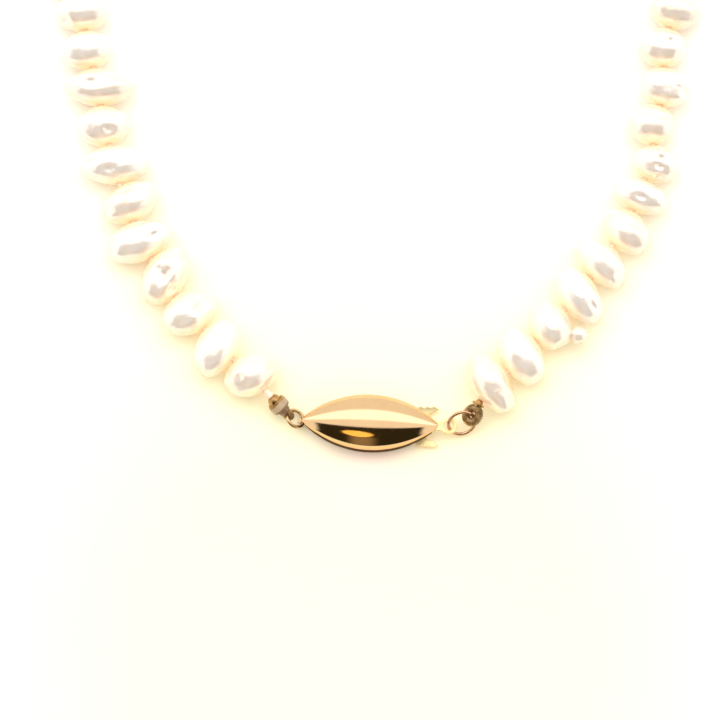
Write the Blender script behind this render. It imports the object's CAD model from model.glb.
"""A necklace of baroque pearls with a gold marquise clasp, closed and lying on a pale surface.

The clasp is in front, along X; the strands run away along Y; Z is up. Sizes are in millimetres, and MM
turns them into Blender's metres. Only the camera's distance, the lights and Subsurface_Scale are in metres.
"""

import math

import bmesh
import bpy
from mathutils import Matrix, Vector, noise


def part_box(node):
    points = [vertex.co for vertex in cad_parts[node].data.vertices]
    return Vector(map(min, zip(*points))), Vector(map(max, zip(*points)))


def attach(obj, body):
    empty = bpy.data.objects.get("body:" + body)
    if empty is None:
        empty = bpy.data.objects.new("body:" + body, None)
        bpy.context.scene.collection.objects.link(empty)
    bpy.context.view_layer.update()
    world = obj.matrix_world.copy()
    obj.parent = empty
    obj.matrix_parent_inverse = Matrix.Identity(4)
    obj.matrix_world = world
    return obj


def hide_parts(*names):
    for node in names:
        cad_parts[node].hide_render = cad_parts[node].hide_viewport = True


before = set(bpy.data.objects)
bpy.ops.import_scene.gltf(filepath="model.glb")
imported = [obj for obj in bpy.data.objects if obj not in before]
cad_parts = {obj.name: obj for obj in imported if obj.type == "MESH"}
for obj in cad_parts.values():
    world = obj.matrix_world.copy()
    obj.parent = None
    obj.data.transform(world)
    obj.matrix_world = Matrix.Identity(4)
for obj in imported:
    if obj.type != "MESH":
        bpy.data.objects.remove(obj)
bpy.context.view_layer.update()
MM = 0.001
LEFT, RIGHT = 0, 1
SIDES = ["left", "right"]


# ---- the strand's route, as in the CAD
THREAD_Z = 2.5
PEARL_GAP = 0.2
PEARL_HEIGHT = 5.0
SINGLE_PEARLS = 12
PEARL_GROUPS = 10
GROUP_SIZE = 3
PEARLS = SINGLE_PEARLS + GROUP_SIZE * PEARL_GROUPS
ROUTE_STEPS = 16
ROUTES = [
    [(-9.0, 0.4), (-11.7, 2.9), (-17.2, 7.9), (-22.8, 14.0), (-27.1, 20.8), (-30.1, 28.7), (-32.7, 38.6),
     (-35.6, 49.5), (-39.0, 62.7), (-41.6, 78.3), (-42.5, 95.0), (-43.0, 111.0), (-41.0, 127.5),
     (-35.5, 142.5), (-26.5, 155.0), (-14.5, 163.5), (-0.15, 166.5), (14.2, 163.5)],
    [(9.6, -0.2), (12.1, 2.9), (16.7, 8.1), (21.6, 14.2), (26.1, 20.8), (29.4, 28.3), (31.0, 37.4),
     (31.8, 47.4), (34.3, 61.2), (38.7, 76.7), (42.5, 93.0), (43.0, 110.0), (41.0, 127.0), (35.5, 142.5),
     (26.5, 155.0), (14.5, 163.5), (0.15, 166.5), (-14.2, 163.5)],
]
# (length along the thread, thickness, width, shift outwards, turn in degrees) of the pearls by the clasp
NEAR_PEARLS = [
    [(4.7, 4.7, 5.9, -0.2, -18), (4.8, 4.7, 6.7, 0.5, 18), (4.9, 4.9, 6.4, -0.1, -12),
     (5.0, 4.8, 6.9, -0.3, 22), (4.5, 4.6, 7.0, 0.4, -6), (4.3, 4.4, 6.5, -0.5, 8),
     (4.8, 4.5, 7.2, -0.1, -14), (4.3, 4.6, 6.0, 0.1, -6), (4.4, 4.3, 7.3, -0.3, -12),
     (4.4, 4.4, 5.9, 0.3, -6), (4.3, 4.5, 6.2, -0.2, -6), (4.4, 4.4, 6.6, 0.3, 3)],
    [(4.3, 4.3, 7.2, -0.4, -14), (4.5, 4.6, 6.8, -0.2, -16), (4.6, 4.6, 5.6, -0.1, -20),
     (4.5, 4.4, 6.9, 0.1, -17), (4.2, 4.2, 7.1, -0.2, -10), (4.5, 4.5, 5.8, 0.5, -14),
     (3.6, 3.7, 6.3, 0.2, 0), (4.0, 4.2, 5.1, 0.8, 0), (4.4, 4.6, 5.2, -0.6, 5),
     (4.3, 4.4, 5.9, 0.3, -6), (4.4, 4.5, 5.6, -0.4, 4), (4.2, 4.3, 6.0, 0.4, -3)],
]
# the small pearl grown onto the third one on the right: along the thread, outwards, and its radius
NUB_PEARL, NUB_AT, NUB_R = 2, (1.3, 3.1), 1.0


def point(x, y, z=0.0):
    """A place given in millimetres."""
    return Vector((x, y, z)) * MM


def around(count):
    """Angles spaced evenly round a circle."""
    return [2 * math.pi * k / count for k in range(count)]


def between(p, i, t):
    """A place on the smooth curve through points i and i + 1."""
    a, b, c, d = (Vector(p[i + k]) for k in (-1, 0, 1, 2))
    bend = 2 * a - 5 * b + 4 * c - d
    return 0.5 * (2 * b + (c - a) * t + bend * t * t + (3 * b - a - 3 * c + d) * t**3)


def smooth_route(p):
    line = [between(p, i, j / ROUTE_STEPS) for i in range(1, len(p) - 2) for j in range(ROUTE_STEPS)]
    return line + [Vector(p[-2])]


def at_run(line, run):
    """The place that lies a distance along a line of points."""
    for a, b in zip(line, line[1:]):
        step = (b - a).length
        if run <= step or b is line[-1]:
            return a + (b - a) * min(run / step, 1.0)
        run -= step


def spread(i, k):
    """A share that jumps about from one number to the next."""
    return (i * k) % 1


def number(side, i):
    """A pearl's own number, different on the two sides."""
    return i + 50 * side


def drawn(side, i):
    """A pearl's measures, as in NEAR_PEARLS."""
    if i < len(NEAR_PEARLS[side]):
        return NEAR_PEARLS[side][i]
    n = number(side, i)
    long = 4.2 + 0.6 * spread(n, 0.618)
    return (long, long + 0.1, 5.3 + 1.6 * spread(n, 0.383),
            0.9 * (spread(n, 0.517) - 0.5), 12 * (spread(n, 0.733) - 0.5))


def lay_out(side):
    """The bends between a side's pearls in millimetres, and how much its drawn lengths are scaled."""
    line = smooth_route(ROUTES[side])
    whole = sum((b - a).length for a, b in zip(line, line[1:]))
    lengths = [drawn(side, i)[0] for i in range(PEARLS)]
    fill = (whole - PEARLS * PEARL_GAP) / sum(lengths)
    lengths = [x * fill for x in lengths]
    runs = [sum(lengths[:i]) + i * PEARL_GAP for i in range(PEARLS + 1)]
    return [Vector((*at_run(line, run), THREAD_Z)) for run in runs], fill


BENDS, FILLS = zip(*(lay_out(side) for side in (LEFT, RIGHT)))


# ---- camera
CAMERA_ELEVATION = 80
CAMERA_DISTANCE = 0.45
SENSOR_WIDTH = 36
VIEW_WIDTH = 80.0
CAMERA_ROLL = 2.5
LOOK_AT = point(-1.4, 7.05, 1.5)


def in_scene(name, data):
    """A new object that is in the scene."""
    obj = bpy.data.objects.new(name, data)
    bpy.context.scene.collection.objects.link(obj)
    return obj


def make_camera():
    data = bpy.data.cameras.new("camera")
    data.sensor_width = SENSOR_WIDTH
    data.lens = SENSOR_WIDTH * CAMERA_DISTANCE / (VIEW_WIDTH * MM)
    data.clip_start, data.clip_end = 0.01, 10
    camera = in_scene("camera", data)
    tilt = math.radians(CAMERA_ELEVATION)
    camera.location = LOOK_AT + Vector((0, -math.cos(tilt), math.sin(tilt))) * CAMERA_DISTANCE
    level = Matrix.Rotation(math.pi / 2 - tilt, 3, "X")
    camera.rotation_euler = (level @ Matrix.Rotation(math.radians(CAMERA_ROLL), 3, "Z")).to_euler()
    bpy.context.scene.camera = camera


# ---- node helpers
class Nodes:
    """A node tree with short calls for its nodes. A value is a constant or another node's output."""

    def __init__(self, tree):
        self.tree = tree

    def new(self, kind, **values):
        node = self.tree.nodes.new(kind)
        for key, value in values.items():
            setattr(node, key, value)
        return node

    def link(self, a, b):
        self.tree.links.new(a, b)

    def feed(self, socket, value):
        if hasattr(value, "links"):
            self.link(value, socket)
        else:
            socket.default_value = value

    def range(self, value, low, high, to_low, to_high, kind="LINEAR"):
        made = self.new("ShaderNodeMapRange", interpolation_type=kind)
        for key, limit in zip(("From Min", "From Max", "To Min", "To Max"), (low, high, to_low, to_high)):
            made.inputs[key].default_value = limit
        self.link(value, made.inputs["Value"])
        return made.outputs["Result"]

    def mix(self, factor, a, b):
        made = self.new("ShaderNodeMix", data_type="RGBA")
        self.feed(made.inputs[0], factor)
        for colour, key in ((a, 6), (b, 7)):
            self.feed(made.inputs[key], (*colour, 1) if isinstance(colour, tuple) else colour)
        return made.outputs[2]

    def math(self, operation, a, b=0.0):
        made = self.new("ShaderNodeMath", operation=operation)
        self.feed(made.inputs[0], a)
        self.feed(made.inputs[1], b)
        return made.outputs[0]


class Material(Nodes):
    """A new material's nodes. Heights and places are in millimetres."""

    def __init__(self, name):
        self.material = bpy.data.materials.new(name)
        self.material.use_nodes = True
        super().__init__(self.material.node_tree)
        self.shader = self.tree.nodes["Principled BSDF"]

    def place(self):
        """Object coordinates."""
        where = self.new("ShaderNodeTexCoord")
        size = self.new("ShaderNodeVectorMath", operation="SCALE")
        size.inputs["Scale"].default_value = 1000
        self.link(where.outputs["Object"], size.inputs[0])
        return size.outputs[0]

    def mark(self, name):
        """What the points of a piece are marked with."""
        return self.new("ShaderNodeAttribute", attribute_name=name).outputs["Fac"]

    def noise(self, scale, detail=4.0, roughness=0.5, distortion=0.0, place=None):
        made = self.new("ShaderNodeTexNoise")
        values = {"Scale": scale, "Detail": detail, "Roughness": roughness, "Distortion": distortion}
        for key, value in values.items():
            made.inputs[key].default_value = value
        self.link(place or self.place(), made.inputs["Vector"])
        return made.outputs["Fac"]

    def ramp(self, value, *stops):
        """A colour ramp: stops are (position, colour)."""
        made = self.new("ShaderNodeValToRGB")
        items = made.color_ramp.elements
        while len(items) < len(stops):
            items.new(0.5)
        for item, (position, colour) in zip(items, stops):
            item.position, item.color = position, (*colour, 1)
        self.link(value, made.inputs["Fac"])
        return made.outputs["Color"]

    def bump(self, height, distance, strength=1.0, after=None):
        made = self.new("ShaderNodeBump")
        made.inputs["Strength"].default_value = strength
        made.inputs["Distance"].default_value = distance * MM
        self.link(height, made.inputs["Height"])
        if after is not None:
            self.link(after, made.inputs["Normal"])
        return made.outputs["Normal"]

    def set(self, **values):
        """Sets the shader's own sockets; keys are socket names with _ for a space."""
        for key, value in values.items():
            self.feed(self.shader.inputs[key.replace("_", " ")], value)
        return self.material


# ---- materials
def nacre():
    """Cream nacre: each pearl has its own tint, faint growth bands and a soft lustre."""
    n = Material("nacre")
    tones = (0.0, (0.93, 0.78, 0.63)), (0.5, (0.95, 0.82, 0.69)), (1.0, (0.95, 0.85, 0.75))
    body = n.ramp(n.mark("tint"), *tones)
    clouds = n.noise(0.55, detail=3, distortion=0.6)
    cloudy = n.mix(n.range(clouds, 0.35, 0.7, 0.0, 0.5), body, (0.97, 0.89, 0.80))
    blush = n.noise(0.9, detail=2)
    rosy = n.mix(n.range(blush, 0.5, 0.75, 0.0, 0.4), cloudy, (0.95, 0.77, 0.67))
    bands = n.noise(3.2, detail=6, roughness=0.62, distortion=1.5)
    pits = n.noise(14.0, detail=2)
    skin = n.bump(n.noise(1.1, detail=2, distortion=0.8), 0.12, 0.45)
    skin = n.bump(bands, 0.03, 0.5, after=skin)
    skin = n.bump(pits, 0.004, 0.4, after=skin)
    # deeper in tone by the holes, and aglow with the light that comes through its neighbours there
    ends = n.mark("ends")
    return n.set(
        Base_Color=n.mix(n.range(ends, 0.0, 1.0, 0.0, 0.8), rosy, (0.96, 0.70, 0.48)),
        Emission_Color=(1.0, 0.68, 0.40, 1.0),
        Emission_Strength=n.range(ends, 0.1, 1.0, 0.0, 0.26),
        Metallic=0.3,
        Roughness=n.range(bands, 0.3, 0.7, 0.10, 0.2),
        Subsurface_Weight=0.2,
        Subsurface_Radius=(1.0, 0.7, 0.45),
        Subsurface_Scale=0.0009,
        IOR=1.9,
        Coat_Weight=0.4,
        Coat_Roughness=0.05,
        Coat_IOR=1.6,
        Normal=skin,
    )


def gold(name, bright, worn, rough=0.09, seam=None, glow=0.0):
    """Gold plate with fine wear: rub marks, hairline scratches and a warmer tone in patches.

    seam is a height in millimetres up to which the plate is dark with tarnish; glow is light that it
    gives back from all round it.
    """
    n = Material(name)
    patches = n.noise(0.35, detail=5, roughness=0.6)
    rubs = n.noise(2.4, detail=7, roughness=0.7)
    stretched = n.new("ShaderNodeMapping")
    stretched.inputs["Scale"].default_value = (0.5, 9.0, 3.0)
    stretched.inputs["Rotation"].default_value = (0.0, 0.0, 0.5)
    n.link(n.place(), stretched.inputs["Vector"])
    hairs = n.noise(2.2, detail=8, roughness=0.75, place=stretched.outputs["Vector"])
    colour = n.mix(n.range(patches, 0.35, 0.7, 0.0, 1.0), bright, worn)
    surface = n.bump(hairs, 0.0035, 0.35)
    clean = 1.0
    if seam is not None:
        spot = n.new("ShaderNodeSeparateXYZ")
        n.link(n.place(), spot.inputs[0])
        # the dark edge dies away at the tips, where the dome is low
        raised = n.range(n.math("ABSOLUTE", spot.outputs["X"]), 5.6, 7.3, 0.0, 0.4)
        clean = n.range(n.math("ADD", spot.outputs["Z"], raised), seam - 0.12, seam + 0.03, 0.0, 1.0)
        colour = n.mix(clean, (0.10, 0.055, 0.022), colour)
    return n.set(
        Base_Color=colour,
        Metallic=clean,
        Emission_Color=(*bright, 1.0),
        Emission_Strength=glow,
        Specular_IOR_Level=0.0,
        Roughness=n.range(rubs, 0.3, 0.75, rough * 0.6, rough * 2.2),
        Normal=surface,
    )


def bullion():
    """Fine coiled wire, brown with age, bright only along the tops of its turns."""
    n = Material("bullion")
    age = n.noise(1.6, detail=5, roughness=0.6)
    grime = n.noise(6.0, detail=4)
    colour = n.ramp(age, (0.3, (0.16, 0.09, 0.035)), (0.5, (0.44, 0.28, 0.12)), (0.72, (0.85, 0.55, 0.24)))
    darker = n.mix(n.range(grime, 0.5, 0.75, 0.0, 0.6), colour, (0.05, 0.03, 0.015))
    return n.set(
        Base_Color=darker, Metallic=0.9, Roughness=n.range(age, 0.3, 0.7, 0.42, 0.24),
        Normal=n.bump(grime, 0.01, 0.4),
    )


def yarn(name, dark, light, rough):
    """Twisted thread: fibres run along the strands, lighter on top."""
    n = Material(name)
    fibres = n.noise(9.0, detail=6, roughness=0.7, distortion=0.8)
    stain = n.noise(1.3, detail=3)
    colour = n.mix(n.range(fibres, 0.35, 0.7, 0.0, 1.0), dark, light)
    stained = n.mix(n.range(stain, 0.45, 0.75, 0.0, 0.5), colour, dark)
    return n.set(
        Base_Color=stained, Roughness=rough, Sheen_Weight=0.3, Sheen_Roughness=0.4,
        Normal=n.bump(fibres, 0.02, 0.6),
    )


# the warm casts on the floor: (place along Y, full up to here from it, gone from here on, colour)
FLOOR_CASTS = [(-25.0, 25.0, 95.0, (0.96, 0.89, 0.58)), (-3.0, 1.5, 9.0, (0.95, 0.77, 0.62))]


def floor_material():
    """White paper with a warm cast in front of the clasp, most under it."""
    n = Material("floor")
    grain = n.noise(0.02, detail=5)
    colour = n.mix(n.range(grain, 0.3, 0.7, 0.0, 1.0), (0.95, 0.95, 0.94), (0.96, 0.96, 0.95))
    for y, near, far, cast in FLOOR_CASTS:
        away = n.new("ShaderNodeVectorMath", operation="DISTANCE")
        n.link(n.place(), away.inputs[0])
        away.inputs[1].default_value = (0.0, y, 0.0)
        colour = n.mix(n.range(away.outputs["Value"], near, far, 1.0, 0.0), colour, cast)
    return n.set(
        Base_Color=colour, Roughness=0.7, Specular_IOR_Level=0.2,
        Emission_Color=(1.0, 0.86, 0.66, 1.0), Emission_Strength=0.08,
    )


# ---- mesh helpers
def mesh_of(name, verts, faces):
    """A mesh whose points are given in millimetres."""
    mesh = bpy.data.meshes.new(name)
    mesh.from_pydata([tuple(Vector(p) * MM) for p in verts], [], faces)
    return mesh


def add_object(name, mesh, body, stands_for=()):
    """A piece of the necklace that rides on a body, in place of the CAD nodes that it stands for."""
    obj = in_scene(name, mesh)
    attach(obj, body)
    if stands_for:
        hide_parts(*stands_for)
    return obj


def add_piece(name, verts, faces, materials, body, stands_for=(), marks=None, numbers=None):
    """A smooth piece. marks gives its points values, by name; numbers gives its faces their materials."""
    mesh = mesh_of(name, verts, faces)
    for material in materials:
        mesh.materials.append(material)
    for polygon in mesh.polygons:
        polygon.use_smooth = True
    if numbers:
        mesh.polygons.foreach_set("material_index", numbers)
    for mark, values in (marks or {}).items():
        mesh.attributes.new(mark, "FLOAT", "POINT").data.foreach_set("value", values)
    mesh.validate()
    add_object(name, mesh, body, stands_for)


def frames_along(points, closed=False):
    """Two sideways directions at each point of a line, turned as little as possible on the way."""
    count = len(points)
    out, across = [], None
    for i in range(count):
        a = points[(i - 1) % count] if closed or i else points[0]
        b = points[(i + 1) % count] if closed or i < count - 1 else points[-1]
        along = (b - a).normalized()
        if across is None:
            across = along.orthogonal().normalized()
        across = (across - along * across.dot(along)).normalized()
        out.append((across.copy(), along.cross(across)))
    return out


def sweep(points, radius, sides=12, closed=False, section=None):
    """A tube along points. section(i, angle) scales the radius. Open ends get round caps."""
    frames = frames_along(points, closed)
    rings = []
    for i, (p, (u, v)) in enumerate(zip(points, frames)):
        ring = []
        for turn in around(sides):
            r = radius * (section(i, turn) if section else 1.0)
            ring.append(p + (u * math.cos(turn) + v * math.sin(turn)) * r)
        rings.append(ring)
    if not closed:
        for end, step in ((0, 1), (-1, -1)):
            away = (points[end] - points[end + step]).normalized()
            centre = points[end]
            domes = []
            for share in (0.5, 0.85):
                inward = math.sqrt(1 - share * share)
                domes.append([centre + (q - centre) * inward + away * radius * share for q in rings[end]])
            rings = domes[::-1] + rings if end == 0 else rings + domes
    verts = [q for ring in rings for q in ring]
    count = len(rings)
    faces = tube_faces(count, sides, closed)
    if not closed:
        tip = points[0] + (points[0] - points[1]).normalized() * radius
        verts.append(tip)
        faces += [((k + 1) % sides, k, len(verts) - 1) for k in range(sides)]
        tip = points[-1] + (points[-1] - points[-2]).normalized() * radius
        verts.append(tip)
        base = (count - 1) * sides
        faces += [(base + k, base + (k + 1) % sides, len(verts) - 1) for k in range(sides)]
    return verts, faces


def tube_faces(count, sides, closed=False):
    """The faces between rings of points that follow each other."""
    faces = []
    for i in range(count if closed else count - 1):
        a, b = i * sides, ((i + 1) % count) * sides
        faces += [(a + k, a + (k + 1) % sides, b + (k + 1) % sides, b + k) for k in range(sides)]
    return faces


def turned(faces):
    """The same faces, facing the other way."""
    return [(face[0], *face[:0:-1]) for face in faces]


def joined(parts):
    """Several (verts, faces) as one."""
    verts, faces = [], []
    for v, f in parts:
        shift = len(verts)
        verts += v
        faces += [tuple(i + shift for i in face) for face in f]
    return verts, faces


# ---- pearls
HOLE_R = 0.42
PEARL_ROWS = 40
PEARL_COLUMNS = 56
# how uneven the pearls are, and how square: 2 is an ellipsoid
BAROQUE = 0.11
FULLNESS = 2.3
# how far a pearl may stand out from its ellipsoid: this share, and up to this much more round its belly,
# which ends at this share of its length. The limit is soft.
LEAST_OUT, MORE_OUT, BELLY, SOFTNESS = 0.008, 0.17, 0.75, 90
# the tone deepens towards the holes between these leans, the cosines of angles from the thread
BARE_LEAN, FULL_LEAN = 0.45, 0.9
# the shapes of the pearls by the clasp: (side, pearl) -> (how much its outer end is fatter, lumps);
# a lump is (direction, height, width) with a direction along the thread, outwards and up
SHAPES = {
    (RIGHT, 0): (-0.12, [((0.75, 0.35, 0.5), -0.10, 0.4), ((-0.2, -0.7, 0.6), 0.05, 0.6)]),
    (RIGHT, 1): (-0.03, []),
    (RIGHT, 2): (0.06, [((0.0, 0.9, 0.2), -0.04, 0.4)]),
    (RIGHT, 3): (-0.04, [((0.2, 0.62, 0.75), -0.16, 0.2), ((0.1, -0.3, 0.9), -0.05, 0.5)]),
    (RIGHT, 4): (0.22, [((-0.5, 0.3, 0.5), 0.05, 0.5), ((0.3, 0.1, 0.9), -0.06, 0.3)]),
    (RIGHT, 5): (0.08, [((0.3, -0.5, 0.8), 0.12, 0.25), ((0.25, -0.1, 0.95), -0.12, 0.25),
                        ((-0.4, 0.5, 0.6), 0.07, 0.4)]),
    (RIGHT, 6): (0.05, [((-0.25, 0.1, 0.97), -0.22, 0.25), ((-0.25, -0.7, 0.7), -0.15, 0.3),
                        ((-0.6, 0.7, 0.4), 0.16, 0.3), ((0.5, -0.3, 0.7), 0.06, 0.5)]),
    (RIGHT, 7): (0.00, [((0.75, 0.1, 0.65), -0.26, 0.2), ((0.25, 0.15, 1.0), -0.26, 0.18),
                        ((-0.3, 0.2, 0.95), -0.24, 0.18), ((-0.8, 0.25, 0.6), -0.2, 0.2)]),
    (RIGHT, 8): (0.05, [((0.0, -0.9, 0.3), 0.12, 0.4), ((0.3, 0.2, 0.9), -0.18, 0.25)]),
    (LEFT, 0): (0.04, []),
    (LEFT, 1): (-0.05, [((0.1, -0.55, 0.8), -0.14, 0.3), ((0.0, 0.5, 0.8), 0.03, 0.5)]),
    (LEFT, 2): (0.34, [((-0.1, -0.4, 0.9), -0.24, 0.28), ((0.15, -0.75, 0.6), -0.12, 0.3),
                       ((0.1, 0.6, 0.75), 0.07, 0.45)]),
    (LEFT, 3): (0.00, [((-0.05, 0.05, 1.0), -0.24, 0.24), ((-0.75, 0.3, 0.6), -0.18, 0.28),
                       ((0.4, 0.1, 0.9), -0.14, 0.2), ((0.1, -0.8, 0.6), 0.07, 0.35)]),
    (LEFT, 4): (0.08, [((0.75, -0.2, 0.6), -0.2, 0.2), ((0.35, -0.35, 0.85), -0.2, 0.17),
                       ((-0.1, -0.5, 0.85), -0.2, 0.17), ((-0.1, 0.5, 0.85), 0.04, 0.4),
                       ((0.0, -1.0, 0.1), 0.14, 0.5)]),
    (LEFT, 5): (-0.06, [((0.9, 0.0, 0.4), -0.26, 0.2), ((0.6, 0.05, 0.8), -0.17, 0.18),
                        ((-0.3, 0.4, 0.9), -0.07, 0.25), ((-0.3, -0.4, 0.9), -0.06, 0.25)]),
    (LEFT, 6): (0.10, [((-0.4, 0.2, 0.9), -0.17, 0.22), ((0.0, 0.75, 0.6), -0.16, 0.22),
                       ((0.1, -0.15, 0.95), -0.1, 0.15), ((0.0, -0.6, 0.7), 0.06, 0.4),
                       ((0.0, 1.0, 0.1), 0.15, 0.5), ((0.0, -1.0, 0.1), 0.12, 0.5)]),
    (LEFT, 8): (0.05, [((0.0, -0.9, 0.2), 0.15, 0.5), ((0.0, 0.9, 0.2), 0.12, 0.5),
                       ((0.1, 0.3, 0.95), -0.18, 0.28)]),
}


def shape_of(side, i):
    """A pearl's shape, as in SHAPES."""
    n = number(side, i)
    return SHAPES.get((side, i)) or (0.3 * (spread(n, 0.839) - 0.5), [
        ((spread(n, 0.311) - 0.5, 2 * spread(n, 0.777) - 1, 0.9 - spread(n, 0.451)), -0.18, 0.26),
        ((spread(n, 0.613) - 0.5, 2 * spread(n, 0.219) - 1, 0.4), 0.09 * spread(n, 0.91), 0.38),
    ])


def baroque(direction, side, i, lumps):
    """How far a pearl's surface stands out from its ellipsoid in a direction, as a share."""
    seed = Vector((11.3 * i + 3.1, 7.7 * side + 1.7, 5.9 * i))
    out = BAROQUE * noise.noise(direction * 0.95 + seed)
    out += 0.6 * BAROQUE * noise.noise(direction * 2.1 + seed * 2)
    out += 0.009 * noise.noise(direction * 5.5 + seed)
    for towards, height, wide in lumps:
        angle = direction.angle(Vector(towards))
        out += height * math.exp(-(angle / wide) ** 2)
    return out


def held_back(out, unit):
    """Hollows may be deep, but nothing stands out far, and nothing at all towards the neighbours."""
    room = max(0.0, 1 - abs(unit.x) / BELLY)
    most = LEAST_OUT + MORE_OUT * room * max(0.0, 1 - abs(unit.z))
    return most - math.log1p(math.exp((most - out) * SOFTNESS)) / SOFTNESS


def pearl_mesh(side, i):
    """A drilled pearl between two bends of the thread."""
    start, end = BENDS[side][i], BENDS[side][i + 1]
    _, thick, width, shift, turn = drawn(side, i)
    height = PEARL_HEIGHT - 0.4 * spread(number(side, i), 0.271)
    fatter, lumps = shape_of(side, i)
    outwards = 1 if side == LEFT else -1
    size = Vector((thick * FILLS[side], width, 0.98 * height)) / 2
    middle = Vector((0, outwards * shift, 0))
    spin = Matrix.Rotation(math.radians(turn), 3, "Z")
    along = (end - start).normalized()
    place = Matrix((along, Vector((-along.y, along.x, 0)), Vector((0, 0, 1)))).transposed()

    def surface(direction):
        """Where a ray from the thread meets the pearl."""
        d, o = spin.transposed() @ direction, spin.transposed() @ -middle
        d = Vector((d.x / size.x, d.y / size.y, d.z / size.z))
        o = Vector((o.x / size.x, o.y / size.y, o.z / size.z))
        b, c = d.dot(o), o.dot(o) - 1
        unit = o + d * ((-b + math.sqrt(b * b - d.dot(d) * c)) / d.dot(d))
        own = Vector((unit.x, unit.y * outwards, unit.z))
        full = sum(abs(v) ** FULLNESS for v in unit) ** (-1 / FULLNESS)
        grown = unit * (1 + held_back(full * (1 + baroque(own, side, i, lumps)) - 1, unit))
        slim = min(1.0, 1 + fatter * own.y)
        return spin @ Vector((grown.x * size.x * slim, grown.y * size.y, grown.z * size.z * slim)) + middle

    rows = []
    # the surface ends a little way out from the hole
    rim = math.asin(min(0.9, HOLE_R * 1.35 / size.x))
    for r in range(PEARL_ROWS + 1):
        polar = rim + (math.pi - 2 * rim) * r / PEARL_ROWS
        rows.append([
            surface(Vector((math.cos(polar), math.sin(polar) * math.cos(t), math.sin(polar) * math.sin(t))))
            for t in around(PEARL_COLUMNS)
        ])

    def hole_ring(row, radius, depth):
        """A ring of the drilled hole, at a depth from the pearl's end."""
        x = sum(q.x for q in row) / len(row)
        x -= math.copysign(depth, x)
        return [Vector((x, radius * math.cos(t), radius * math.sin(t))) for t in around(PEARL_COLUMNS)]

    first, last = rows[0], rows[-1]
    wide, deep = HOLE_R * 1.08, 0.08
    tunnel = [
        hole_ring(last, wide, 0.0), hole_ring(last, HOLE_R, deep),
        hole_ring(first, HOLE_R, deep), hole_ring(first, wide, 0.0),
    ]
    rings = rows + tunnel
    verts = [q for row in rings for q in row]
    faces = turned(tube_faces(len(rings), PEARL_COLUMNS, True))
    if (side, i) == (RIGHT, NUB_PEARL):
        verts, faces = joined([(verts, faces), nub(middle, outwards)])
    return [place @ q + (start + end) / 2 for q in verts], faces


def nub(middle, outwards):
    """A small round pearl on a neck that flares into the big one."""
    columns = 40
    centre = middle + Vector((NUB_AT[0], outwards * NUB_AT[1], 0))
    inward = (middle - centre).normalized()
    u, v = frames_along([centre, middle])[0]
    # distance inwards from the small pearl's middle, and radius there
    profile = [(-NUB_R * math.cos(a), NUB_R * math.sin(a)) for a in (math.pi * k / 24 for k in range(1, 18))]
    profile += [(0.82, 0.56), (1.0, 0.54), (1.2, 0.60), (1.5, 0.78), (1.8, 1.05)]
    verts = []
    for d, r in profile:
        for t in around(columns):
            uneven = 1 + 0.04 * noise.noise(Vector((d, math.cos(t), math.sin(t))))
            verts.append(centre + inward * d + (u * math.cos(t) + v * math.sin(t)) * r * uneven)
    faces = [face[::-1] for face in turned(tube_faces(len(profile), columns))]
    faces += [tuple(range(columns)), tuple(range(len(verts) - columns, len(verts)))[::-1]]
    return verts, faces


def how_near_hole(q, side, i):
    """0 round a pearl's belly, 1 by its two holes, by how far a point leans towards the thread."""
    start, end = BENDS[side][i], BENDS[side][i + 1]
    away = q - (start + end) / 2
    lean = abs(away.normalized().dot((end - start).normalized()))
    return min(1.0, max(0.0, (lean - BARE_LEAN) / (FULL_LEAN - BARE_LEAN)))


def strand_nodes(side):
    """(node, its pearls) along a side."""
    name = SIDES[side]
    rows = [(f"{name}_pearl_{i + 1:02d}", [i]) for i in range(SINGLE_PEARLS)]
    for first in range(SINGLE_PEARLS, PEARLS, GROUP_SIZE):
        last = first + GROUP_SIZE
        rows.append((f"{name}_pearls_{first + 1:02d}_{last:02d}", list(range(first, last))))
    return rows


def make_pearls(material):
    for side in (LEFT, RIGHT):
        for node, numbers in strand_nodes(side):
            parts, tints, ends = [], [], []
            for i in numbers:
                part = pearl_mesh(side, i)
                parts.append(part)
                tints += [spread(i * 7 + 13 * side + 3, 0.377)] * len(part[0])
                ends += [how_near_hole(q, side, i) for q in part[0]]
            verts, faces = joined(parts)
            marks = {"tint": tints, "ends": ends}
            add_piece(f"{node}_nacre", verts, faces, [material], node, (node,), marks=marks)


# ---- silk thread
THREAD_R = 0.25
# it is doubled where it shows on the left
THREAD_END_R = [0.38, 0.25]


def twisted(points, radius):
    """Three plies twisted together."""
    turns_per_mm = 0.9
    step = (points[-1] - points[0]).length / (len(points) - 1)

    def section(i, angle):
        return 0.86 + 0.14 * abs(math.cos(1.5 * (angle + 2 * math.pi * turns_per_mm * i * step)))

    return sweep(points, radius, sides=18, section=section)


def straight(a, b, steps):
    """Points along a straight line."""
    return [a + (b - a) * k / steps for k in range(steps + 1)]


def make_thread(material):
    for side in (LEFT, RIGHT):
        for node, numbers in strand_nodes(side):
            parts = [twisted(straight(BENDS[side][i], BENDS[side][i + 1], 14), THREAD_R) for i in numbers]
            verts, faces = joined(parts)
            add_piece(f"{node}_silk", verts, faces, [material], node)
        name = SIDES[side]
        # from inside the knot to the first pearl
        start = centre_of(f"{name}_end_knot")
        verts, faces = twisted(straight(start, BENDS[side][0], 14), THREAD_END_R[side])
        hidden = (f"{name}_thread",)
        add_piece(f"{name}_thread_end", verts, faces, [material], f"{name}_loop", hidden)


def centre_of(node):
    low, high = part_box(node)
    return (Vector(low) + Vector(high)) / 2 / MM


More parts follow.
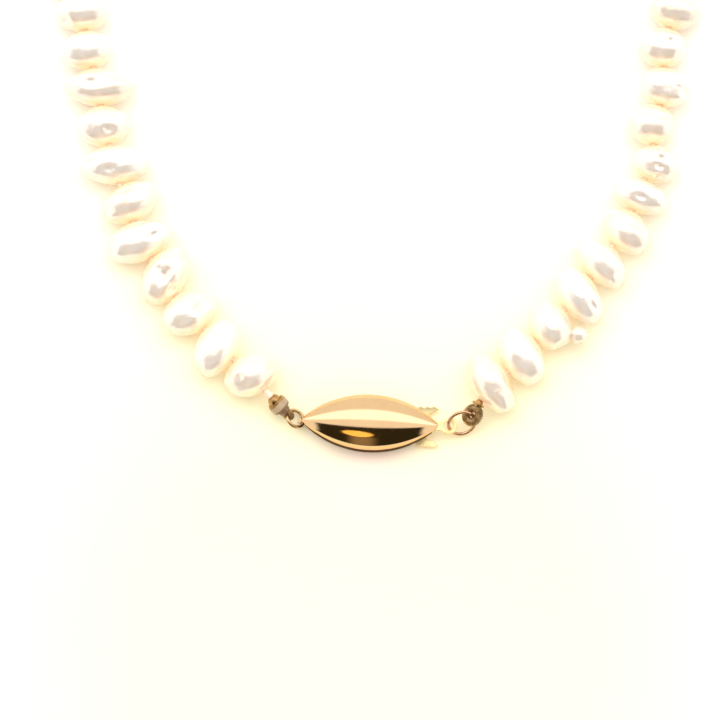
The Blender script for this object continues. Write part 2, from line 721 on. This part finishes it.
# ---- clasp, in the CAD's own measures
HALF_L, HALF_W = 7.75, 3.15
CLASP_TOP, SEAM_Z, WALL = 3.8, 1.0, 0.3
OUTLINE_R = (HALF_L**2 + HALF_W**2) / (2 * HALF_W)
OUTLINE_SHIFT = OUTLINE_R - HALF_W
DOME_BASE = 1.9
RIM = 0.1
TIP_R, TIP_MIDDLE, TIP_FROM = 0.4, 7.18, 7.455
CRISP_ANGLE = 35


def half_width(x, inset):
    """Half the outline's width. The outer outline's tips are rounded, past a place near each."""
    if inset == 0 and abs(x) > TIP_FROM:
        return math.sqrt(max(0.0, TIP_R**2 - (abs(x) - TIP_MIDDLE) ** 2))
    return math.sqrt((OUTLINE_R - inset) ** 2 - x * x) - OUTLINE_SHIFT


def dome_z(x, y, inset):
    """Half an ellipse at each place along the clasp, as wide as the clasp is there."""
    w = half_width(x, inset)
    if w < 1e-6:
        return DOME_BASE
    rise = (CLASP_TOP - DOME_BASE - inset) * w / (HALF_W - inset)
    return DOME_BASE + rise * math.sqrt(max(0.0, 1 - (y / w) ** 2))


def marquise_dome(inset, bottom, rim):
    """A closed marquise dome. rim is the radius of the edge between its top and its wall."""
    columns, rows = 160, 56
    half = math.sqrt((OUTLINE_R - inset) ** 2 - OUTLINE_SHIFT**2) if inset else TIP_MIDDLE + TIP_R
    verts = []
    for c in range(1, columns):
        x = half * math.sin(math.pi * (c / columns - 0.5))
        w = half_width(x, inset)
        soft = min(rim, 0.6 * w)
        for r in range(rows + 1):
            y = w * math.sin(math.pi * (r / rows - 0.5))
            z = dome_z(x, y, inset)
            inward = w - abs(y)
            if inward < soft:
                z -= soft - math.sqrt(max(0.0, soft**2 - (soft - inward) ** 2))
            verts.append((x, y, z))
        for k in (1, 0.66, 0.33, 0):
            verts.append((x, w, bottom + k * (z - bottom) * 0.98))
        verts += [(x, w * k, bottom) for k in (0.5, 0, -0.5)]
        for k in (0, 0.33, 0.66, 1):
            verts.append((x, -w, bottom + k * (z - bottom) * 0.98))
    ring = rows + 1 + 4 + 3 + 4
    faces = turned(tube_faces(columns - 1, ring))
    for side, base, flip in ((-1, 0, False), (1, (columns - 2) * ring, True)):
        tip_top = dome_z(half, 0, inset) - 0.6 * rim
        verts.append((side * half, 0, (tip_top + bottom) / 2))
        for r in range(ring):
            face = (base + r, base + (r + 1) % ring, len(verts) - 1)
            faces.append(face[::-1] if flip else face)
    return verts, faces


def smooth(mesh):
    """Edges sharper than CRISP_ANGLE stay crisp, the rest are smooth."""
    bm = bmesh.new()
    bm.from_mesh(mesh)
    for edge in bm.edges:
        edge.smooth = len(edge.link_faces) == 2 and edge.calc_face_angle(0.0) < math.radians(CRISP_ANGLE)
    for face in bm.faces:
        face.smooth = True
    bm.to_mesh(mesh)
    bm.free()


def welded(mesh, outwards):
    """The mesh with its doubled points joined, and if outwards its faces turned outwards."""
    bm = bmesh.new()
    bm.from_mesh(mesh)
    bmesh.ops.remove_doubles(bm, verts=bm.verts, dist=1e-7)
    if outwards:
        bmesh.ops.recalc_face_normals(bm, faces=bm.faces)
    bm.to_mesh(mesh)
    bm.free()
    return mesh


def box_faces(low, high):
    verts = [(x, y, z) for x in (low[0], high[0]) for y in (low[1], high[1]) for z in (low[2], high[2])]
    return verts, [(0, 1, 3, 2), (4, 6, 7, 5), (0, 4, 5, 1), (2, 3, 7, 6), (0, 2, 6, 4), (1, 5, 7, 3)]


def carved(name, verts, faces, cutters):
    """A solid less its cutters, as a mesh."""
    whole = in_scene(name, welded(mesh_of(name, verts, faces), True))
    tools = []
    for i, cutter in enumerate(cutters):
        cut_name = f"{name}_cut_{i}"
        tool = in_scene(cut_name, welded(mesh_of(cut_name, *cutter), True))
        tools.append(tool)
        cut = whole.modifiers.new(f"cut_{i}", "BOOLEAN")
        cut.operation, cut.solver, cut.object = "DIFFERENCE", "EXACT", tool
    mesh = bpy.data.meshes.new_from_object(whole.evaluated_get(bpy.context.evaluated_depsgraph_get()))
    for used in [whole, *tools]:
        bpy.data.objects.remove(used)
    return mesh


def add_mesh(name, mesh, material, body, stands_for):
    """A piece with crisp edges."""
    smooth(mesh)
    mesh.materials.clear()
    mesh.materials.append(material)
    return add_object(name, mesh, body, stands_for)


def make_front_shell(material):
    mesh = carved("front_shell_solid", *marquise_dome(0, SEAM_Z, RIM), [
        marquise_dome(WALL, SEAM_Z - 0.3, 0.05),
        # the mouth that the tongue goes in by
        box_faces((6.0, -0.75, 0.0), (9.0, 0.75, 1.88)),
        # room for the left ring as it lifts
        box_faces((-9.0, -0.6, 0.0), (-7.0, 0.6, 1.3)),
    ])
    return add_mesh("front_shell", mesh, material, "clasp", ("clasp_front_shell",))


# ---- flat strips: the tongue and its spring
def arc(cx, cy, radius, start, end, steps):
    """Points round a circle, degrees."""
    turns = (math.radians(start + (end - start) * k / steps) for k in range(steps + 1))
    return [(cx + radius * math.cos(t), cy + radius * math.sin(t)) for t in turns]


def plate(outline, holes, z, thickness, edge):
    """A flat plate with rounded edges, as a mesh."""
    data = bpy.data.curves.new("plate", "CURVE")
    data.dimensions, data.fill_mode = "2D", "BOTH"
    data.extrude = (thickness / 2 - edge) * MM
    data.bevel_depth, data.bevel_resolution, data.offset = edge * MM, 3, -edge * MM
    for line in [outline, *holes]:
        spline = data.splines.new("POLY")
        spline.points.add(len(line) - 1)
        for spot, (x, y) in zip(spline.points, line):
            spot.co = (x * MM, y * MM, 0, 1)
        spline.use_cyclic_u = True
    obj = in_scene("plate", data)
    mesh = bpy.data.meshes.new_from_object(obj.evaluated_get(bpy.context.evaluated_depsgraph_get()))
    bpy.data.objects.remove(obj)
    mesh.transform(Matrix.Translation((0, 0, (z + thickness / 2) * MM)))
    return welded(mesh, False)


FLAT_RING_X, FLAT_RING_R, FLAT_RING_HOLE_R = 8.72, 0.95, 0.525
LEAF_HALF, LEAF_Z, SPRING_Z, LEAF_T = 0.6, 1.6, 0.42, 0.25
FOLD_X, FOLD_Z, FOLD_MIDDLE = -3.55, 1.135, 0.59


def make_tongue(material):
    reach = math.degrees(math.asin(LEAF_HALF / FLAT_RING_R))
    outline = [(-3.5, LEAF_HALF), (-3.5, -LEAF_HALF), (6.8, -LEAF_HALF), (7.6, -0.52)]
    outline += arc(FLAT_RING_X, 0, FLAT_RING_R, -180 + reach - 6, 180 - reach + 6, 56)
    outline += [(7.6, 0.52), (6.8, LEAF_HALF)]
    hole = arc(FLAT_RING_X, 0, FLAT_RING_HOLE_R, 360, 7.5, 47)
    mesh = plate(outline, [hole], LEAF_Z, LEAF_T, 0.07)
    add_mesh("tongue", mesh, material, "tongue", ("tongue_leaf",))


def wing(side):
    """The scalloped edge of a thumb tab's wing, from the housing outwards, round its swept tip and back."""
    edge = arc(5.62, 1.68, 0.55, 205, 66, 12) + arc(6.34, 1.76, 0.5, 138, 58, 9)
    edge += arc(7.02, 1.80, 0.5, 128, 48, 9)
    edge += [(7.62, 2.10), (7.64, 2.02), (7.3, 1.76), (6.95, 1.56), (6.5, 1.44), (6.3, 1.0)]
    return [(x, side * y) for x, y in edge]


# the shoulders that latch behind the lip: their ends along X and their half width
SHOULDER_FROM, SHOULDER_TO, SHOULDER_HALF = 3.7, 4.2, 0.9
# the thumb tab starts here along X, and its wings curl up from a half width, by CURL at CURL_OVER further out
TAB_FROM, CURL_FROM, CURL_OVER, CURL = 4.95, 1.1, 1.2, 0.16
FOLD_STEPS = 32


def spring_edge(side):
    """One long edge of the spring leaf, from its fold to the thumb tab."""
    steps = [(-3.6, LEAF_HALF), (SHOULDER_FROM, LEAF_HALF), (SHOULDER_FROM, SHOULDER_HALF),
             (SHOULDER_TO, SHOULDER_HALF), (SHOULDER_TO, LEAF_HALF), (4.9, LEAF_HALF)]
    return [(x, side * y) for x, y in steps]


def curl_tab(mesh):
    """Gives the thumb tab more points and curls its wings up."""
    bm = bmesh.new()
    bm.from_mesh(mesh)
    for axis, spots in ((0, [5.0 + 0.09 * k for k in range(32)]), (1, [-2.3 + 0.115 * k for k in range(41)])):
        for spot in spots:
            normal = Vector((axis == 0, axis == 1, 0))
            parts = list(bm.verts) + list(bm.edges) + list(bm.faces)
            tab = [g for g in parts if all(v.co.x > TAB_FROM * MM for v in getattr(g, "verts", [g]))]
            bmesh.ops.bisect_plane(bm, geom=tab, dist=1e-8, plane_co=normal * spot * MM, plane_no=normal)
    for v in bm.verts:
        x, y = v.co.x / MM, abs(v.co.y) / MM
        if x > TAB_FROM:
            v.co.z += CURL * max(0.0, (y - CURL_FROM) / CURL_OVER) ** 2 * MM
    bm.to_mesh(mesh)
    bm.free()


def fold_mesh():
    """The spring's fold, a half turn of the same strip."""
    parts = []
    across = [-LEAF_HALF, -LEAF_HALF + 0.05, LEAF_HALF - 0.05, LEAF_HALF]
    for lift in (1, -1):
        verts, faces = [], []
        for k in range(FOLD_STEPS + 1):
            t = math.pi / 2 + math.pi * k / FOLD_STEPS
            for i, y in enumerate(across):
                radius = FOLD_MIDDLE + lift * (LEAF_T / 2 - (0.04 if i in (0, 3) else 0))
                verts.append((FOLD_X + radius * math.cos(t), y, FOLD_Z + radius * math.sin(t)))
        for k in range(FOLD_STEPS):
            faces += [(4 * k + i, 4 * k + i + 1, 4 * k + i + 5, 4 * k + i + 4) for i in range(3)]
        parts.append((verts, faces))
    verts, faces = joined(parts)
    half = len(parts[0][0])
    for k in range(FOLD_STEPS):
        faces += [(4 * k + i, 4 * k + i + 4, half + 4 * k + i + 4, half + 4 * k + i) for i in (0, 3)]
    for i in range(3):
        for k in (0, FOLD_STEPS):
            faces.append((4 * k + i, 4 * k + i + 1, half + 4 * k + i + 1, half + 4 * k + i))
    return welded(mesh_of("fold", verts, faces), True)


def make_spring(material):
    outline = spring_edge(-1) + wing(-1) + [(6.28, 0)] + wing(1)[::-1] + spring_edge(1)[::-1]
    mesh = plate(outline, [], SPRING_Z, LEAF_T, 0.06)
    curl_tab(mesh)
    bm = bmesh.new()
    bm.from_mesh(mesh)
    bm.from_mesh(fold_mesh())
    bm.to_mesh(mesh)
    bm.free()
    add_mesh("thumb_spring", mesh, material, "thumb_spring", ("tongue_spring",))


# ---- rings
RING_WIRE_R = 0.2


def flat_ended(points, radius, sides):
    """A wire with flat ends whose edges are a little rounded."""
    rings = []
    for p, (u, v) in zip(points, frames_along(points)):
        rings.append([p + (u * math.cos(t) + v * math.sin(t)) * radius for t in around(sides)])

    def end(ring, away):
        centre = sum(ring, Vector()) / sides
        steps = (0.86, 0.03), (0.4, 0.035)
        return [[centre + (q - centre) * wide + away * out for q in ring] for wide, out in steps]

    first, last = (points[0] - points[1]).normalized(), (points[-1] - points[-2]).normalized()
    rings = end(rings[0], first)[::-1] + rings + end(rings[-1], last)
    verts = [q for ring in rings for q in ring]
    faces = tube_faces(len(rings), sides)
    faces.append(tuple(range(sides))[::-1])
    faces.append(tuple(range(len(verts) - sides, len(verts))))
    return verts, faces


# where the rings, loops and knots are, as in the CAD
FLAT_RING_MIDDLE = Vector((FLAT_RING_X, 0, LEAF_Z + LEAF_T / 2))
RIGHT_YAW, RIGHT_LEAN = math.radians(16), math.radians(48)
LUG = Vector((-7.4, 0, 0.62))
LEFT_ROLL = math.radians(-25)
RING_R = [1.02, 1.52]
LOOP_R = [0.56, 0.8]
BULLION_R = [0.25, 0.43]
KNOT_TURNS = [3, 1]
KNOT_BEAD = [0.44, 0.34]
KNOT_R = [1.1, 0.72]
KNOT_SINK = 0.04
HANG = [math.radians(12), math.radians(30)]
LOOP_TILT = [Vector((0.45, 0.7, -0.5)), Vector((-0.35, 0.32, 0.88))]

left_along = Vector((-0.87, 0.21, 0.446))
left_level = left_along.cross(Vector((0, 0, 1))).normalized()
left_up = math.cos(LEFT_ROLL) * left_level + math.sin(LEFT_ROLL) * left_level.cross(left_along).normalized()
right_along = Vector((math.cos(RIGHT_YAW), math.sin(RIGHT_YAW), 0))
right_up = Vector((-math.sin(RIGHT_YAW) * math.cos(RIGHT_LEAN), math.cos(RIGHT_YAW) * math.cos(RIGHT_LEAN),
                   math.sin(RIGHT_LEAN)))
RING_AXES = [(left_along, left_up), (right_along, right_up)]
RING_AT = [LUG + left_along * RING_R[LEFT], FLAT_RING_MIDDLE + right_along * RING_R[RIGHT]]


def loop_at(side):
    along, up = RING_AXES[side]
    return RING_AT[side] + RING_R[side] * (math.cos(HANG[side]) * along + math.sin(HANG[side]) * up)


def knot_at(side):
    start = LOOP_R[side] + BULLION_R[side] - KNOT_SINK
    return LOOP_AT[side] + KNOT_DIR[side] * (start + KNOT_TURNS[side] * KNOT_BEAD[side] / 2)


LOOP_AT = [loop_at(side) for side in (LEFT, RIGHT)]
KNOT_DIR = [(BENDS[side][0] - LOOP_AT[side]).normalized() for side in (LEFT, RIGHT)]
KNOT_AT = [knot_at(side) for side in (LEFT, RIGHT)]


def make_ring(side, cut, material):
    """A jump ring of round wire with its butt joint at an angle from the along direction."""
    along, up = RING_AXES[side]
    gap = math.radians(1.2)
    start = math.radians(cut)
    turns = [start + gap + (2 * math.pi - 2 * gap) * k / 96 for k in range(97)]
    points = [RING_AT[side] + (along * math.cos(t) + up * math.sin(t)) * RING_R[side] for t in turns]
    verts, faces = flat_ended(points, RING_WIRE_R, 24)
    name = f"{SIDES[side]}_ring"
    add_piece(f"{name}_wire", verts, faces, [material], name, (name,))


# ---- wire-covered loops and wraps
COIL_WIRE_R = 0.075
COIL_PITCH = 0.158
COIL_SWELL = [0.02, 0.06]


def loop_line(side, steps):
    """Points round the middle line of a loop."""
    x = KNOT_DIR[side]
    z = (LOOP_TILT[side] - x * LOOP_TILT[side].dot(x)).normalized()
    y = z.cross(x)
    return [LOOP_AT[side] + (x * math.cos(t) + y * math.sin(t)) * LOOP_R[side] for t in around(steps)]


def coil_around(points, whole, radius):
    """A fine helix round a closed line of a length."""
    frames = frames_along(points, True)
    per_turn = 14
    count = round(whole / COIL_PITCH) * per_turn
    spots = []
    for k in range(count):
        place = k / count * len(points)
        i = int(place) % len(points)
        j = (i + 1) % len(points)
        share = place - int(place)
        centre = points[i].lerp(points[j], share)
        # the last frame isn't blended with the first, which can be turned against it
        u, v = (a.lerp(b, share) if j else a for a, b in zip(frames[i], frames[j]))
        t = 2 * math.pi * k / per_turn
        swell = 1 + 0.03 * noise.noise(Vector((k * 0.05, radius, 0)))
        away = u.normalized() * math.cos(t) + v.normalized() * math.sin(t)
        spots.append(centre + away * (radius - COIL_WIRE_R) * swell)
    return sweep(spots, COIL_WIRE_R, sides=8)


def make_loops(wire, core):
    for side in (LEFT, RIGHT):
        name = SIDES[side]
        body = f"{name}_loop"
        points = loop_line(side, 96)
        verts, faces = coil_around(points, 2 * math.pi * LOOP_R[side], BULLION_R[side] + COIL_SWELL[side])
        add_piece(f"{name}_bullion", verts, faces, [wire], body, (f"{name}_wire_loop",))
        verts, faces = sweep(points, BULLION_R[side] - 2 * COIL_WIRE_R + 0.03, sides=16, closed=True)
        add_piece(f"{name}_loop_core", verts, faces, [core], body)


def winding(side, layer, radius, strand_r, along):
    """A strand wound round the knot's middle, closer in at its two ends."""
    bead, turns = KNOT_BEAD[side], KNOT_TURNS[side]
    u = along.orthogonal().normalized()
    v = along.cross(u)
    per_turn = 26
    steps = per_turn * (2 * turns - layer)
    span = turns * bead - 2 * strand_r
    points = []
    for k in range(steps + 1):
        t = 2 * math.pi * k / per_turn + 1.3 * layer
        share = k / steps
        uneven = 0.015 * noise.noise(Vector((t * 0.5, side, layer)))
        sag = 1 - 0.10 * abs(2 * share - 1) ** 3 + uneven
        place = KNOT_AT[side] + along * (share - 0.5) * span
        points.append(place + (u * math.cos(t) + v * math.sin(t)) * radius * sag)
    return sweep(points, strand_r * 1.12, sides=12)


def make_knots(dark, pale, band):
    """Windings round the strand beside the loop: dark waxed thread, paler thread, and a band of wire."""
    for side in (LEFT, RIGHT):
        name, along = SIDES[side], KNOT_DIR[side]
        strand_r = KNOT_BEAD[side] / 4
        length = KNOT_TURNS[side] * KNOT_BEAD[side]
        # two strands lie side by side in each turn, in two layers, round a strand inside
        parts = [winding(side, layer, KNOT_R[side] - depth * strand_r, strand_r, along)
                 for layer, depth in enumerate((1.0, 2.6))]
        half = along * KNOT_TURNS[side] * KNOT_BEAD[side] / 2
        inside = straight(KNOT_AT[side] - half, KNOT_AT[side] + half, 10)
        parts.append(sweep(inside, KNOT_R[side] - 3.2 * strand_r, sides=18))
        verts, faces = joined(parts)
        numbers = []
        for face in faces:
            middle = sum((verts[i] for i in face), Vector()) / len(face)
            share = (middle - KNOT_AT[side]).dot(along) / length + 0.5
            numbers.append(2 if side == RIGHT or share > 0.72 else 0 if share < 0.2 else 1)
        stuffs, hidden = [dark, pale, band], (f"{name}_end_knot",)
        add_piece(f"{name}_wrap", verts, faces, stuffs, f"{name}_loop", hidden, numbers=numbers)


# ---- floor and light
FLOOR_CELLS, FLOOR_HALF = 24, 1500.0
# the amber lamp's direction: degrees back from straight up, and sideways
LAMP_BACK, LAMP_ASIDE = -31.5, -9


def make_floor():
    row = FLOOR_CELLS + 1
    spots = [FLOOR_HALF * (2 * k / FLOOR_CELLS - 1) for k in range(row)]
    verts = [(x, y, 0.0) for x in spots for y in spots]
    corners = [i * row + j for i in range(FLOOR_CELLS) for j in range(FLOOR_CELLS)]
    mesh = mesh_of("floor", verts, [(a, a + row, a + row + 1, a + 1) for a in corners])
    mesh.materials.append(floor_material())
    obj = in_scene("floor", mesh)


def make_world():
    """A white studio with the photographer's dark shape over the front of the clasp."""
    world = bpy.data.worlds.new("studio")
    bpy.context.scene.world = world
    world.use_nodes = True
    n = Nodes(world.node_tree)
    n.tree.nodes.clear()
    where = n.new("ShaderNodeTexCoord")
    parts = n.new("ShaderNodeSeparateXYZ")
    n.link(where.outputs["Generated"], parts.inputs[0])
    # angle from straight up towards +Y, and angle sideways
    back = n.math("ARCTAN2", parts.outputs["Y"], parts.outputs["Z"])
    aside = n.math("ARCSINE", parts.outputs["X"])

    def window(value, *degrees):
        """0 up to the first angle and from the last, 1 between the middle two."""
        low, low_full, high_full, high = (math.radians(d) for d in degrees)
        rise = n.range(value, low, low_full, 0, 1, "SMOOTHSTEP")
        return n.math("MULTIPLY", rise, n.range(value, high_full, high, 1, 0, "SMOOTHSTEP"))

    colour = n.mix(window(back, 38, 42, 160, 170), (1.25, 1.24, 1.22), (1.15, 1.14, 1.08))
    # a bright band, the photographer, and something brown in front of them
    for across, along, tone in (
        ((7, 12, 33, 39), (-62, -50, 50, 62), (2.1, 2.15, 2.3)),
        ((-89, -84, -12, -8), (-47, -41, 41, 47), (0.035, 0.030, 0.014)),
        ((-86, -78, -44, -38), (-20, -9, -2, 9), (0.36, 0.26, 0.15)),
    ):
        colour = n.mix(n.math("MULTIPLY", window(back, *across), window(aside, *along)), colour, tone)
    light = n.new("ShaderNodeBackground")
    n.link(colour, light.inputs["Color"])
    light.inputs["Strength"].default_value = 1.0
    n.link(light.outputs[0], n.new("ShaderNodeOutputWorld").inputs["Surface"])


def area_light(name, place, watts, colour):
    """An area light that faces the clasp."""
    data = bpy.data.lights.new(name, "AREA")
    data.energy, data.color = watts, colour
    obj = in_scene(name, data)
    obj.location = place
    obj.rotation_euler = (LOOK_AT - place).to_track_quat("-Z", "Y").to_euler()
    return obj


def make_lights():
    """A broad soft box above and one in front. The polished parts mirror only the studio, not these."""
    for name, place, size, watts, colour in (
        ("key", (-0.15, 0.12, 0.85), 1.1, 3.6, (1.0, 0.98, 1.0)),
        ("front", (0.10, -0.60, 0.45), 0.8, 1.6, (1.0, 0.96, 0.95)),
    ):
        light = area_light(name, Vector(place), watts, colour)
        light.data.shape, light.data.size = "DISK", size
        light.visible_glossy = False


def make_lamp(mirrors):
    """A small amber lamp in front, that shows only in the clasp's polish."""
    back, aside = math.radians(LAMP_BACK), math.radians(LAMP_ASIDE)
    towards = Vector((math.sin(aside), math.sin(back) * math.cos(aside), math.cos(back) * math.cos(aside)))
    light = area_light("lamp", LOOK_AT + towards, 0.55, (1.0, 0.66, 0.17))
    light.data.shape, light.data.size, light.data.size_y = "ELLIPSE", 0.42, 0.32
    lit = bpy.data.collections.new("lamp_lights")
    lit.objects.link(mirrors)
    light.light_linking.receiver_collection = lit


def dress(node, material):
    """Gives a CAD node a material in place of its own."""
    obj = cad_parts[node]
    for slot in obj.material_slots:
        slot.material = material


make_camera()
make_world()
make_lights()
make_floor()
bpy.context.scene.view_settings.view_transform = "Standard"

polished = gold("polished_gold", (0.77, 0.52, 0.28), (0.74, 0.48, 0.26), rough=0.06, seam=2.2)
strip = gold("gold_strip", (0.95, 0.76, 0.40), (0.86, 0.62, 0.26), rough=0.3, glow=0.18)
wire_gold = gold("gold_wire", (0.70, 0.48, 0.24), (0.52, 0.33, 0.15), rough=0.16)
copper = gold("copper_wire", (0.86, 0.58, 0.36), (0.66, 0.40, 0.22), rough=0.18)
pearl_material = nacre()
silk = yarn("silk", (0.84, 0.70, 0.52), (0.98, 0.91, 0.78), 0.75)
wrap = yarn("wrap", (0.12, 0.055, 0.022), (0.42, 0.23, 0.10), 0.35)
barrel = yarn("barrel", (0.34, 0.23, 0.13), (0.64, 0.48, 0.30), 0.5)
band = gold("band", (0.62, 0.40, 0.16), (0.34, 0.19, 0.07), rough=0.22)
coil = bullion()

make_pearls(pearl_material)
make_thread(silk)
make_lamp(make_front_shell(polished))
make_tongue(strip)
make_spring(strip)
make_ring(LEFT, 118, wire_gold)
make_ring(RIGHT, -62, copper)
make_loops(coil, wrap)
make_knots(wrap, barrel, band)
dress("clasp_back_shell", polished)
dress("clasp_catch_bar", wire_gold)
dress("left_lug", wire_gold)
